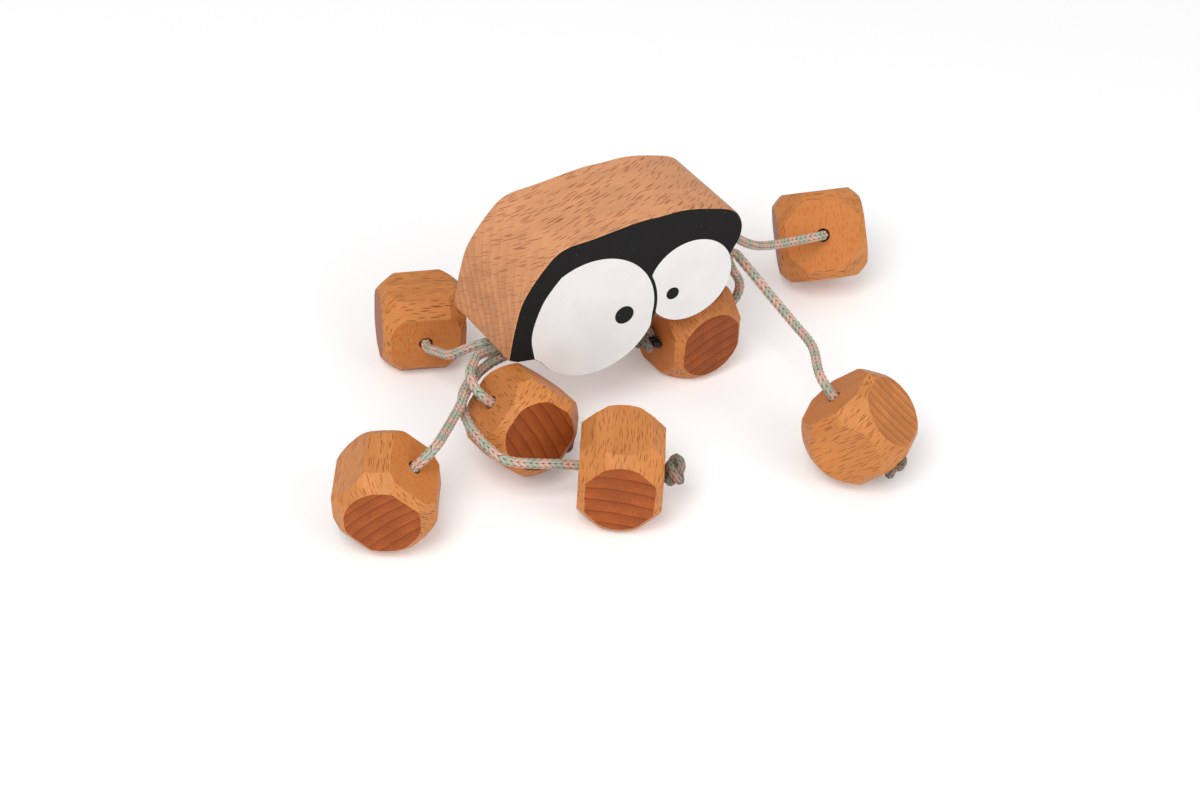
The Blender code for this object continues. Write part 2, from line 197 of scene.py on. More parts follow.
class SpiderBody(bpy.types.PropertyGroup):
    """Sizes and colours of the body and its painted face."""

    depth: FloatProperty(
        name="Depth", description="Thickness of the body from face to back",
        default=0.0335, min=0.01, unit="LENGTH",
    )
    edge: FloatProperty(
        name="Edge", description="Width of the eased edge around the face",
        default=0.0007, min=0.0001, unit="LENGTH",
    )
    paint: FloatProperty(
        name="Paint", description="How far the eyes' paint stands off the face",
        default=0.00008, min=0.00001, unit="LENGTH",
    )
    left_pupil: FloatProperty(
        name="Left Pupil", description="Diameter of the large eye's pupil",
        default=0.0062, min=0.001, unit="LENGTH",
    )
    right_pupil: FloatProperty(
        name="Right Pupil", description="Diameter of the small eye's pupil",
        default=0.0042, min=0.001, unit="LENGTH",
    )
    wood: FloatVectorProperty(
        name="Beech", description="Colour of the body's bare sides",
        default=(0.69, 0.325, 0.155), subtype="COLOR", min=0.0, max=1.0,
    )
    end_wood: FloatVectorProperty(
        name="Beech End", description="Colour of the body's end grain",
        default=(0.60, 0.270, 0.115), subtype="COLOR", min=0.0, max=1.0,
    )
    white: FloatVectorProperty(
        name="Eye White", description="Colour of the painted eyes",
        default=(0.87, 0.87, 0.86), subtype="COLOR", min=0.0, max=1.0,
    )
    black: FloatVectorProperty(
        name="Face Black", description="Colour of the face around the eyes",
        default=(0.012, 0.012, 0.012), subtype="COLOR", min=0.0, max=1.0,
    )


class SpiderFeet(bpy.types.PropertyGroup):
    """Sizes and colours of the wooden feet."""

    hole: FloatProperty(
        name="Hole", description="Diameter of the hole for the cord",
        default=0.0043, min=0.003, unit="LENGTH",
    )
    end_chamfer: FloatProperty(
        name="End Chamfer", description="Cut off each edge between a hole face and the end grain",
        default=0.0020, min=0.0, unit="LENGTH",
    )
    side_chamfer: FloatProperty(
        name="Side Chamfer", description="Cut off each edge between a side and the end grain",
        default=0.0026, min=0.0, unit="LENGTH",
    )
    corner: FloatProperty(
        name="Corner", description="Radius on the end grain that the flats of the corners graze",
        default=0.0111, min=0.0, unit="LENGTH",
    )
    crown: FloatProperty(
        name="Crown", description="How far the foot's rounding stands outside half its grain",
        default=0.0039, min=0.0, unit="LENGTH",
    )
    edge: FloatProperty(
        name="Edge", description="Width of the eased edges where the flats of a foot meet",
        default=0.00028, min=0.0, unit="LENGTH",
    )
    fineness: IntProperty(
        name="Fineness", description="How finely a foot's round parts are divided", default=6, min=3,
        max=7,
    )
    wood: FloatVectorProperty(
        name="Oiled Beech", description="Colour of the feet's sides",
        default=(0.63, 0.245, 0.070), subtype="COLOR", min=0.0, max=1.0,
    )
    end_wood: FloatVectorProperty(
        name="Oiled End", description="Colour of the feet's end grain",
        default=(0.42, 0.100, 0.020), subtype="COLOR", min=0.0, max=1.0,
    )


class SpiderCord(bpy.types.PropertyGroup):
    """Sizes and colours of the braided cord."""

    diameter: FloatProperty(
        name="Diameter", description="Thickness of the cord", default=0.0031, min=0.001,
        unit="LENGTH",
    )
    wales: IntProperty(
        name="Wales", description="Columns of V-shaped stitches round the cord", default=3, min=2,
    )
    pitch: FloatProperty(
        name="Pitch", description="Length of one stitch along the cord",
        default=0.0019, min=0.001, unit="LENGTH",
    )
    slant: FloatProperty(
        name="Slant", description="How much of a stitch each leg of a V leans along the cord",
        default=0.9, min=0.0,
    )
    relief: FloatProperty(
        name="Relief", description="Depth of the gaps between the stitches",
        default=0.00042, min=0.0, unit="LENGTH",
    )
    pale: FloatVectorProperty(
        name="Pale Yarn", description="Colour of every other pair of rows of stitches",
        default=(0.44, 0.46, 0.36), subtype="COLOR", min=0.0, max=1.0,
    )
    pink: FloatVectorProperty(
        name="Pink Yarn", description="Colour of the rows between",
        default=(0.70, 0.45, 0.36), subtype="COLOR", min=0.0, max=1.0,
    )
    # The knots' darker yarn is painted shade, as in the shadowed folds of a drawn knot
    painted_knot_shade: FloatProperty(
        name="Knot Shade", description="How much of the yarn's brightness a knot keeps",
        default=0.52, min=0.0, max=1.0, subtype="FACTOR",
    )


class SpiderStage(bpy.types.PropertyGroup):
    """The floor and the lights."""

    floor: FloatVectorProperty(
        name="Floor", description="Colour of the floor", default=(0.90, 0.90, 0.90),
        subtype="COLOR", min=0.0, max=1.0,
    )
    backdrop: FloatProperty(
        name="Backdrop", description="How much the floor is brightened towards white as it is seen",
        default=0.18, min=0.0, max=1.0,
    )
    sky: FloatProperty(
        name="Sky", description="Strength of the even light from all round", default=0.52, min=0.0,
    )
    key: FloatProperty(
        name="Key", description="Power of the main lamp", default=11.0, min=0.0, unit="POWER",
    )
    fill: FloatProperty(
        name="Fill", description="Power of the lamp that softens the shadows", default=4.4, min=0.0,
        unit="POWER",
    )


class Finish:
    """A material's nodes, with short calls for what the finishes share."""

    def __init__(self, name):
        self.material = bpy.data.materials.new(name)
        self.material.use_nodes = True
        self.tree = self.material.node_tree
        self.shader = self.tree.nodes["Principled BSDF"]

    def put(self, socket, value):
        """Link value to socket if it comes from a node, or else set it there."""
        if isinstance(value, bpy.types.NodeSocket):
            self.tree.links.new(value, socket)
        else:
            socket.default_value = value

    def surface(self, colour, roughness, gloss=0.5):
        """Give the shader its colour, its roughness and how much it mirrors."""
        self.put(self.shader.inputs["Base Color"], colour)
        self.put(self.shader.inputs["Roughness"], roughness)
        self.put(self.shader.inputs["Specular IOR Level"], gloss)

    def coordinates(self):
        """The outputs of a Texture Coordinate node."""
        return self.tree.nodes.new("ShaderNodeTexCoord").outputs

    def node(self, kind, output=0, **inputs):
        """A node's output, its inputs given by name."""
        node = self.tree.nodes.new(kind)
        for name, value in inputs.items():
            self.put(node.inputs[name.replace("_", " ")], value)
        return node.outputs[output]

    def numbers(self, operation, *values, kind="ShaderNodeMath", output=0):
        """A Math node's result."""
        node = self.tree.nodes.new(kind)
        node.operation = operation
        for socket, value in zip(node.inputs, values):
            self.put(socket, value)
        return node.outputs[output]

    def vectors(self, operation, *values, output=0):
        """A Vector Math node's result."""
        return self.numbers(operation, *values, kind="ShaderNodeVectorMath", output=output)

    def times(self, first, second, plus=0.0):
        """One number times another, and a third added."""
        return self.numbers("MULTIPLY_ADD", first, second, plus)

    def rest(self, share):
        """What a share leaves of the whole."""
        return self.numbers("SUBTRACT", 1.0, share)

    def dot(self, vector, axis):
        """How far a vector reaches along an axis."""
        return self.vectors("DOT_PRODUCT", vector, axis, output=1)

    def vector(self, x=0.0, y=0.0, z=0.0):
        """Three numbers as a vector."""
        return self.node("ShaderNodeCombineXYZ", X=x, Y=y, Z=z)

    def noise(self, place, scale, detail=2.0, roughness=0.5):
        """Noise from 0 to 1 at a place."""
        return self.node(
            "ShaderNodeTexNoise", Vector=place, Scale=scale, Detail=detail, Roughness=roughness
        )

    def rise(self, value, low, high):
        """0 below low and 1 above high, smooth between."""
        node = self.tree.nodes.new("ShaderNodeMapRange")
        node.interpolation_type = "SMOOTHSTEP"
        self.put(node.inputs["Value"], value)
        self.put(node.inputs["From Min"], low)
        self.put(node.inputs["From Max"], high)
        return node.outputs["Result"]

    def blend(self, share, first, second):
        """Two colours mixed, share of the second."""
        node = self.tree.nodes.new("ShaderNodeMix")
        node.data_type = "RGBA"
        self.put(node.inputs["Factor"], share)
        for socket, value in zip(node.inputs[6:8], (first, second)):
            self.put(socket, (*value, 1.0) if isinstance(value, tuple) else value)
        return node.outputs[2]

    def stained(self, colour, base, *stains):
        """A colour with stains on it: where each is, its strength, and how it tints base."""
        for where, strength, tint in stains:
            colour = self.blend(self.times(where, strength), colour, tinted(base, tint))
        return colour

    def bump(self, height, distance, strength=1.0):
        """Link a bump of that height, in metres, to the shader."""
        node = self.tree.nodes.new("ShaderNodeBump")
        node.inputs["Strength"].default_value = strength
        node.inputs["Distance"].default_value = distance
        self.put(node.inputs["Height"], height)
        self.tree.links.new(node.outputs[0], self.shader.inputs["Normal"])


def tinted(colour, tint):
    """A colour with each of its parts made lighter or darker by a tint's."""
    return tuple(min(1.0, part * share) for part, share in zip(colour, tint))


def tone(colour, share):
    """A colour made lighter or darker."""
    return tinted(colour, (share, share, share))


class Beech(Finish):
    """Beech with its fibres and its rings' outward direction along the two axes.

    Its rays are thin sheets, which show as dashes, flecks or lines by how a surface cuts them.
    """

    def __init__(self, name, axes, cut):
        super().__init__(name)
        coordinates = self.coordinates()
        place, self.normal = coordinates["Object"], coordinates["Normal"]
        self.cut = cut
        self.fibre, radial = axes
        self.tangent = self.fibre.cross(radial)
        self.shift = (7.13 * cut.seed, 3.71 * cut.seed, 1.9 * cut.seed)
        across = self.dot(place, self.tangent * MILLIMETRES)
        outward = self.dot(place, radial * MILLIMETRES)
        self.grain = self.vector(self.dot(place, self.fibre * MILLIMETRES), across, outward)
        drift = self.node("ShaderNodeTexNoise", output=1, Vector=self.grain, Scale=0.32, Detail=2.0)
        self.bent = self.vectors("MULTIPLY_ADD", drift, (1.2, 0.30, 0.8), self.grain)
        self.late = self.late_wood(across, outward)
        self.rays = self.sheets(tuple(1.0 / room for room in cut.ray), self.shift, 0.35)
        self.pores = self.spots((0.8, 7.0, 7.0), 2.0)
        self.streaks = self.rise(self.pores, 0.50, 0.72)
        self.patches = self.rise(self.spots((0.05, 0.16, 0.16)), 0.34, 0.66)

    def spots(self, scale, detail=1.0):
        """Noise stretched along the grain, scale per millimetre along, across and outward."""
        return self.noise(self.vectors("MULTIPLY_ADD", self.grain, scale, self.shift), 1.0, detail)

    def sheets(self, scale, shift, edge):
        """Scattered thin sheets, 1 inside and 0 outside, one in each unit of the scaled grain."""
        place = self.vectors("MULTIPLY_ADD", self.bent, scale, shift)
        away = self.node("ShaderNodeTexVoronoi", Vector=place, Scale=1.0)
        return self.rest(self.rise(away, 0.20, edge))

    def facing(self, axis, low, high):
        """1 where the surface faces along an axis, either way, and 0 where it faces across it."""
        return self.rise(self.numbers("ABSOLUTE", self.dot(self.normal, axis)), low, high)

    def late_wood(self, across, outward):
        """The darker wood that each ring ends with."""
        level = self.times(self.spots((0.02, 0.06, 0.09)), self.cut.waves, outward)
        level = self.times(self.spots((0.06, 0.6, 0.25)), 0.16 * self.cut.waves, level)
        level = self.times(self.times(across, across), 0.007, level)
        phase = self.numbers("FRACT", self.numbers("DIVIDE", level, self.cut.ring))
        late = self.times(self.rise(phase, 0.84, 0.93), 0.64)
        late = self.times(self.rise(phase, 0.15, 0.90), 0.36, late)
        return self.times(late, self.rest(self.rise(phase, 0.965, 1.0)))

    def side_grain(self, colour):
        """The sides: dashes where they cut the rays, and orange flecks where they lie along them."""
        along = self.facing(self.tangent, 0.88, 0.97)
        threads = self.rise(self.spots((0.05, 1.5, 1.5), 2.0), 0.36, 0.66)
        flecks = self.sheets((1.5, 0.6, 0.42), (self.cut.seed, self.cut.seed, self.cut.seed), 0.46)
        return self.stained(
            self.blend(self.patches, tone(colour, 1.06), tone(colour, 0.94)), colour,
            (along, 0.70, (0.93, 0.84, 0.70)),
            (threads, 0.30, (0.86, 0.76, 0.66)),
            (self.late, 0.18, (0.78, 0.60, 0.45)),
            (self.streaks, 0.20, (0.72, 0.62, 0.55)),
            (self.times(flecks, along), 0.72, (0.90, 0.52, 0.26)),
            (self.times(self.rays, self.rest(along)), 0.84, (0.38, 0.20, 0.13)),
        )

    def end_grain(self, colour, ray):
        """The end grain: rings and fine lines, crossed by the rays in their own colour."""
        lines = self.rise(self.spots((0.05, 0.16, 2.4), 2.0), 0.42, 0.64)
        rings = self.stained(
            self.blend(self.patches, tone(colour, 1.14), tone(colour, 0.94)), colour,
            (lines, self.cut.dark * 0.45, (0.74, 0.62, 0.55)),
            (self.late, self.cut.dark, (0.46, 0.32, 0.26)),
            (self.streaks, 0.14, (1.35, 1.35, 1.35)),
        )
        return self.blend(self.times(self.rays, 0.62), rings, ray)


def beech(name, axes, cut, side, end, ray):
    """Beech in the colours of its sides, its end grain and the rays on that."""
    wood = Beech(name, axes, cut)
    ends = wood.facing(wood.fibre, *cut.turn)
    colour = wood.blend(ends, wood.side_grain(side), wood.end_grain(end, ray))
    wood.surface(colour, wood.times(wood.pores, 0.25, 0.34), 0.20)
    wood.bump(wood.numbers("SUBTRACT", wood.times(wood.pores, 0.4), wood.rays), 0.00005, 0.5)
    return wood.material


def paint(name, colour, fleck, rough):
    """Satin paint on wood: nearly even, with a fine tooth and a few tiny flecks."""
    finish = Finish(name)
    place = finish.coordinates()["Object"]
    tooth = finish.noise(place, 4200.0, 3.0, 0.6)
    clouds = finish.rise(finish.noise(place, 90.0), 0.35, 0.65)
    flecks = finish.rise(finish.noise(place, 1500.0, 1.0), 0.72, 0.76)
    shade = finish.blend(clouds, tuple(colour), tone(colour, 0.955))
    shade = finish.blend(finish.times(flecks, 0.45), shade, fleck)
    finish.surface(shade, finish.times(tooth, 0.14, rough), 0.12)
    finish.bump(tooth, 0.00003, 0.35)
    return finish.material


def yarn(name, look, brightness):
    """Knitted yarn: rows of two colours, painted shade in the gaps between the stitches, and black
    where the end is melted.
    """
    finish = Finish(name)

    def value(label):
        """A value that the cord's mesh holds."""
        node = finish.tree.nodes.new("ShaderNodeAttribute")
        node.attribute_name = label
        return node.outputs["Fac"]

    soft = finish.noise(finish.coordinates()["Object"], 240.0)
    thread = finish.vector(finish.times(value("leg"), 5.5), finish.times(value("row"), 1.3))
    plies = finish.noise(thread, 1.0, 2.0, 0.6)
    # A brightness below 1 is painted shade: the knots get a darkened copy of the yarn
    pale, pink = tone(look.pale, brightness), tone(look.pink, brightness)
    colour = finish.blend(
        finish.rise(value("pink"), 0.35, 0.65),
        finish.blend(soft, tone(pale, 0.88), tone(pale, 1.12)),
        finish.blend(soft, tone(pink, 0.90), tone(pink, 1.08)),
    )
    colour = finish.stained(colour, pale, (finish.rise(plies, 0.48, 0.70), 0.42, (0.42, 0.42, 0.42)))
    # Painted shade: the low gaps between the stitches are darkened to near black
    painted_gap_shade = finish.rest(finish.rise(value("height"), 0.16, 0.58))
    colour = finish.blend(finish.times(painted_gap_shade, 0.94), colour, (0.030, 0.025, 0.019))
    melted = value("melted")
    colour = finish.blend(melted, colour, (0.010, 0.009, 0.008))
    finish.surface(colour, finish.times(melted, -0.5, 0.85))
    finish.bump(plies, 0.00010, 0.6)
    return finish.material


def add_piece(name, mesh, *materials):
    """An object of the visual model, in the scene's own collection."""
    item = bpy.data.objects.new(name, mesh)
    for material in materials:
        mesh.materials.append(material)
    bpy.context.scene.collection.objects.link(item)
    return item


def set_down(item, place):
    """Put item at a place, its turn kept in its mesh so that its box stays tight."""
    item.data.transform(place.to_3x3().to_4x4())
    item.matrix_world = Matrix.Translation(place.translation)


def mesh_from(name, shape):
    """A mesh with a bmesh's faces; the bmesh is freed."""
    mesh = bpy.data.meshes.new(name)
    shape.to_mesh(mesh)
    shape.free()
    return mesh


def slab(name, outline, front, shift):
    """A slab with an outline, across and up, for its front and with its back moved by shift."""
    shape = bmesh.new()
    face = shape.faces.new([shape.verts.new((x, front, y)) for x, y in outline])
    block = bmesh.ops.extrude_face_region(shape, geom=[face])
    moved = [item for item in block["geom"] if isinstance(item, bmesh.types.BMVert)]
    bmesh.ops.translate(shape, verts=moved, vec=shift)
    bmesh.ops.recalc_face_normals(shape, faces=shape.faces)
    return mesh_from(name, shape)


def ease_edges(item, width, segments, angle):
    """Ease item's edges wherever its faces meet at more than angle, in degrees."""
    edges = item.modifiers.new("eased_edges", "BEVEL")
    edges.width = width
    edges.segments = segments
    edges.limit_method = "ANGLE"
    edges.angle_limit = math.radians(angle)


def drill(item, radius, place):
    """The mesh of item with its modifiers and a round hole right through along X.

    The item itself is removed.
    """
    shape = bmesh.new()
    bmesh.ops.create_cone(
        shape, cap_ends=True, segments=64, radius1=radius, radius2=radius, depth=DRILL_LENGTH,
        matrix=Matrix.Translation(place) @ Matrix.Rotation(math.radians(90.0), 4, "Y"),
    )
    cutter = add_piece("drill", mesh_from("drill", shape))
    cut = item.modifiers.new("hole", "BOOLEAN")
    cut.operation = "DIFFERENCE"
    cut.solver = "EXACT"
    cut.object = cutter
    bpy.context.view_layer.update()
    evaluated = item.evaluated_get(bpy.context.evaluated_depsgraph_get())
    mesh = bpy.data.meshes.new_from_object(evaluated)
    mesh.materials.clear()
    mesh.name = item.name
    bpy.data.objects.remove(item)
    bpy.data.objects.remove(cutter)
    return mesh


def smooth_points(route, step):
    """Points about step apart on the smooth curve through the route's own points."""
    knots = [route[0] * 2.0 - route[1], *route, route[-1] * 2.0 - route[-2]]
    points = []
    for start in range(len(knots) - 3):
        before, here, there, after = knots[start:start + 4]
        count = max(1, round((there - here).length / step))
        for index in range(count):
            t = index / count
            points.append(0.5 * (
                2.0 * here
                + (there - before) * t
                + (2.0 * before - 5.0 * here + 4.0 * there - after) * t * t
                + (3.0 * here - before - 3.0 * there + after) * t * t * t
            ))
    return [*points, route[-1].copy()]


def lobe_arc(lobe, start, end):
    """Points on a lobe's circle from the angle start to the angle end, clockwise."""
    count = max(2, round((start - end) / ARC_STEP))
    x, y, radius = lobe
    angles = [start + (end - start) * index / count for index in range(count + 1)]
    return [(x + radius * math.cos(a), y + radius * math.sin(a)) for a in angles]


def lobe_notch():
    """The point below the face where the two lobes' circles meet."""
    left, right = Vector(LEFT_LOBE[:2]), Vector(RIGHT_LOBE[:2])
    between = right - left
    distance = between.length
    reach = (LEFT_LOBE[2] ** 2 - RIGHT_LOBE[2] ** 2 + distance ** 2) / (2.0 * distance)
    rise = math.sqrt(LEFT_LOBE[2] ** 2 - reach ** 2)
    along = between / distance
    return left + along * reach + Vector((along.y, -along.x)) * rise


def angle_on(lobe, point):
    """The direction of a point from a lobe's centre, below the horizontal as a negative angle."""
    angle = math.atan2(point[1] - lobe[1], point[0] - lobe[0])
    return angle if angle <= math.radians(45.0) else angle - math.tau


def body_outline():
    """The body's outline in its own plane, clockwise from the left shoulder."""
    dome = smooth_points([Vector((x, y, 0.0)) for x, y in DOME_OUTLINE], OUTLINE_STEP)
    points = [(point.x, point.y) for point in dome]
    notch = lobe_notch()
    points += lobe_arc(
        RIGHT_LOBE, angle_on(RIGHT_LOBE, points[-1]) - LOBE_JOIN, angle_on(RIGHT_LOBE, notch)
    )
    points += lobe_arc(
        LEFT_LOBE, angle_on(LEFT_LOBE, notch),
        angle_on(LEFT_LOBE, LEFT_SHOULDER_UNDERSIDE[0]) + LOBE_JOIN,
    )[1:]
    return [*points, *LEFT_SHOULDER_UNDERSIDE]


def body_place():
    """The body's own plane in the toy's frame: across along X, back along Y, up along Z."""
    return Matrix.Translation(FACE_POINT) @ Matrix.Rotation(-BODY_ROLL, 4, "Y")


def build_body(look):
    """The body, bare beech all round with a painted face."""
    back = (-BODY_LEAN, look.depth, 0.0)
    blank = add_piece("spider_body", slab("spider_body", body_outline(), 0.0, back))
    ease_edges(blank, look.edge, 3, 50.0)
    mesh = drill(blank, BORE_RADIUS, (0.0, BORE_BACK, BORE_LEVEL))
    place = body_place()
    rings = (0.0, -math.cos(BODY_RINGS), math.sin(BODY_RINGS))
    wood = beech(
        "body_beech", [place.to_3x3() @ Vector(axis) for axis in ((1.0, 0.0, 0.0), rings)],
        BODY_CUT, look.wood, look.end_wood, tinted(look.wood, (0.50, 0.32, 0.24)),
    )
    black = paint("black_paint", look.black, (0.16, 0.15, 0.14), 0.50)
    body = add_piece("spider_body", mesh, wood, black)
    for polygon in mesh.polygons:
        polygon.material_index = 1 if polygon.normal.y < -0.9 else 0
    mesh.shade_smooth()
    mesh.set_sharp_from_angle(angle=math.radians(12.0))
    set_down(body, place)
    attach(body, "body")
    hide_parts("body_block")

    white = paint("white_paint", look.white, (0.55, 0.52, 0.48), 0.42)
    build_film("left_eye", left_eye_outline(), 1, look, white)
    build_film("right_eye", right_eye_outline(), 1, look, white)
    for side, spot, size in (("left", LEFT_PUPIL, look.left_pupil),
                             ("right", RIGHT_PUPIL, look.right_pupil)):
        outline = lobe_arc((*spot, size / 2.0), math.tau, ARC_STEP)
        build_film(f"{side}_pupil", outline, 2, look, black)


def left_eye_outline():
    """The large eye: a circle flattened by the shoulder, ending at the body's lower edge."""
    x, y, radius = LEFT_LOBE
    points = lobe_arc(LEFT_EYE, math.radians(106.0), math.radians(-26.0))
    points += lobe_arc((x, y, radius - PAINT_INSET), math.radians(-40.0), math.radians(-162.0))
    flat = [Vector((a, b, 0.0)) for a, b in (*reversed(LEFT_EYE_FLAT), points[0])]
    return points + [(point.x, point.y) for point in smooth_points(flat, EYE_STEP)[:-1]]


def right_eye_outline():
    """The small eye: what shows of a circle between the large eye and the body's edge."""
    limit = (RIGHT_LOBE[0], RIGHT_LOBE[1], RIGHT_LOBE[2] - PAINT_INSET)
    points = []
    for x, y in lobe_arc(RIGHT_EYE, math.radians(180.0), math.radians(-178.0)):
        for centre_x, centre_y, radius, inside in ((*limit, True), (*LEFT_EYE, False)):
            reach = radius if inside else radius + EYE_GAP
            away = Vector((x - centre_x, y - centre_y))
            if (away.length > reach) == inside:
                away.length = reach
                x, y = centre_x + away.x, centre_y + away.y
        points.append((x, y))
    return points


def build_film(name, outline, layer, look, finish):
    """A film of paint on the face, in the given layer above it."""
    rise = (0.0, -look.paint * (1.0 + layer), 0.0)
    film = add_piece(name, slab(name, outline, look.paint, rise), finish)
    set_down(film, body_place())
    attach(film, "body")


def hole_turn(number):
    """The turn of a leg's hole: its X axis points from the cord's entry to the knot."""
    leg = LEGS[number]
    return (Matrix.Rotation(math.radians(leg.heading), 4, "Z")
            @ Matrix.Rotation(math.radians(leg.dip), 4, "Y"))


def foot_centre(number):
    """The middle of a foot, as its spin joint has it."""
    return Vector(JOINTS[f"spin_{number}"]["pos_m"])


def hinge_point(number):
    """Where a leg's loose cord starts, as its swing joint has it."""
    return Vector(JOINTS[f"swing_{number}"]["pos_m"])


def foot_flats(number, look):
    """The flats of a foot as unit normals and distances, each edge sanded a little unlike."""
    leg = LEGS[number]
    half = Vector((FOOT_LENGTH, leg.grain, leg.width)) / 2.0
    cuts = {(1, 1, 0): look.end_chamfer, (1, 0, 1): leg.chamfer, (0, 1, 1): look.side_chamfer}
    for side in product((-1, 0, 1), repeat=3):
        sides = tuple(abs(part) for part in side)
        if not any(sides):
            continue
        pick = Vector(side)
        hand = math.sin(pick.dot(FLAT_SEED) + FOOT_SEED * number)
        reach = Vector(sides).dot(half)
        if sum(sides) == 2:
            reach -= cuts[sides] + FLAT_UNEVEN * abs(hand)
        if sum(sides) == 3:
            reach = leg.grain / 2.0 + math.sqrt(2.0) * (look.corner - FLAT_UNEVEN * abs(hand))
        lean = FLAT_LEAN * hand if sum(sides) > 1 else 0.0
        tilted = pick + Vector((pick.z, pick.x, pick.y)) * lean
        yield tilted.normalized(), reach / pick.length


def foot_blank(number, look):
    """A foot before it is drilled: a round blank with flats cut on it and eased edges."""
    shape = bmesh.new()
    radius = LEGS[number].grain / 2.0 + look.crown
    bmesh.ops.create_icosphere(shape, subdivisions=look.fineness, radius=radius)
    for normal, distance in foot_flats(number, look):
        cut = bmesh.ops.bisect_plane(
            shape, geom=[*shape.verts, *shape.edges, *shape.faces], dist=CUT_TOUCH,
            plane_co=normal * distance, plane_no=normal, clear_outer=True,
        )
        rim = [item for item in cut["geom_cut"] if isinstance(item, bmesh.types.BMEdge)]
        if rim:
            bmesh.ops.edgeloop_fill(shape, edges=rim)
    bmesh.ops.remove_doubles(shape, verts=shape.verts, dist=CORNER_JOIN)
    bmesh.ops.recalc_face_normals(shape, faces=shape.faces)
    blank = add_piece(f"wooden_foot_{number}", mesh_from(f"wooden_foot_{number}", shape))
    ease_edges(blank, look.edge, 2, 14.0)
    return blank


def foot_beech(number, look, turn):
    """A foot's oiled beech, its fibres along the turned Y axis."""
    tilt, ring, light, share = GRAINS_AND_PAINTED_LIGHT[number]
    rings = Matrix.Rotation(math.radians(tilt), 4, "Y") @ Vector((0.0, 0.0, 1.0))
    axes = [turn.to_3x3() @ axis for axis in (Vector((0.0, 1.0, 0.0)), rings)]
    cut = Cut(float(number), ring, 1.3, (6.0, 0.36, 3.4), 0.80, (0.82, 0.97))
    # light and share partly paint light and shade on the end grain: darker for feet 3 and 5 under
    # the body, lighter for foot 7
    mixed = [own + (side - own) * share for own, side in zip(look.end_wood, look.wood)]
    end = tone(mixed, light)
    return beech(f"foot_beech_{number}", axes, cut, look.wood, end, tone(end, 0.62))


def build_foot(number, look):
    """One foot, drilled along its hole and set down where its joint has it."""
    mesh = drill(foot_blank(number, look), look.hole / 2.0, (0.0, 0.0, 0.0))
    turn = hole_turn(number) @ Matrix.Rotation(math.radians(LEGS[number].twist), 4, "X")
    foot = add_piece(f"wooden_foot_{number}", mesh, foot_beech(number, look, turn))
    mesh.shade_smooth()
    mesh.set_sharp_from_angle(angle=math.radians(40.0))
    foot.modifiers.new("even_normals", "WEIGHTED_NORMAL").keep_sharp = True
    set_down(foot, Matrix.Translation(foot_centre(number)) @ turn)
    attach(foot, f"foot_{number}")
    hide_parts(f"foot_{number}")


def even_line(points, step):
    """The same line with its points evenly spaced, and their distances along it."""
    line = np.array([tuple(point) for point in points])
    lengths = np.concatenate([[0.0], np.cumsum(np.linalg.norm(np.diff(line, axis=0), axis=1))])
    count = max(2, int(round(lengths[-1] / step)) + 1)
    places = np.linspace(0.0, lengths[-1], count)
    line = np.stack([np.interp(places, lengths, line[:, axis]) for axis in range(3)], axis=1)
    return line, places


def frames_along(line):
    """Two directions across the line at each point, turned as little as can be along it."""
    tangents = np.gradient(line, axis=0)
    tangents /= np.linalg.norm(tangents, axis=1, keepdims=True)
    side = np.cross(tangents[0], (0.0, 0.0, 1.0))
    if np.linalg.norm(side) < 0.1:
        side = np.cross(tangents[0], (1.0, 0.0, 0.0))
    sides = []
    for tangent in tangents:
        side = side - tangent * (side @ tangent)
        side /= np.linalg.norm(side)
        sides.append(side)
    sides = np.array(sides)
    return tangents, sides, np.cross(tangents, sides)


def stitches(places, around, look):
    """The knit round a cord at each place along it: height, colour row and where on its stitch.

    Each column of stitches is a wale: two half columns whose legs slant towards each other.
    """
    turns = np.arange(around) / around * 2.0 * look.wales
    half = np.floor(turns)
    across = (turns - half)[None, :]
    slant = np.where(half[None, :] % 2 == 0, across, 1.0 - across)
    along = places[:, None] / look.pitch + look.slant * slant + 0.5 * (half[None, :] // 2 % 2)
    row = np.floor(along)
    part = along - row
    bulge = 0.35 + 0.65 * np.sqrt(np.maximum(1.0 - (2.0 * across - 1.0) ** 2, 0.0))
    height = bulge * (0.05 + 0.95 * np.sin(np.pi * part) ** 0.55)
    leg = half[None, :] + across
    return height, row, part, np.broadcast_to(leg, row.shape)


def tube_faces(count, around):
    """The faces of a tube of count rings, closed by a tip at each end; the tips come last."""
    first_tip, last_tip, last = count * around, count * around + 1, (count - 1) * around
    faces = []
    for column in range(around):
        following = (column + 1) % around
        faces.append((first_tip, following, column))
        faces.append((last_tip, last + column, last + following))
        faces += [(start + column, start + following, start + around + following,
                   start + around + column) for start in range(0, last, around)]
    return faces


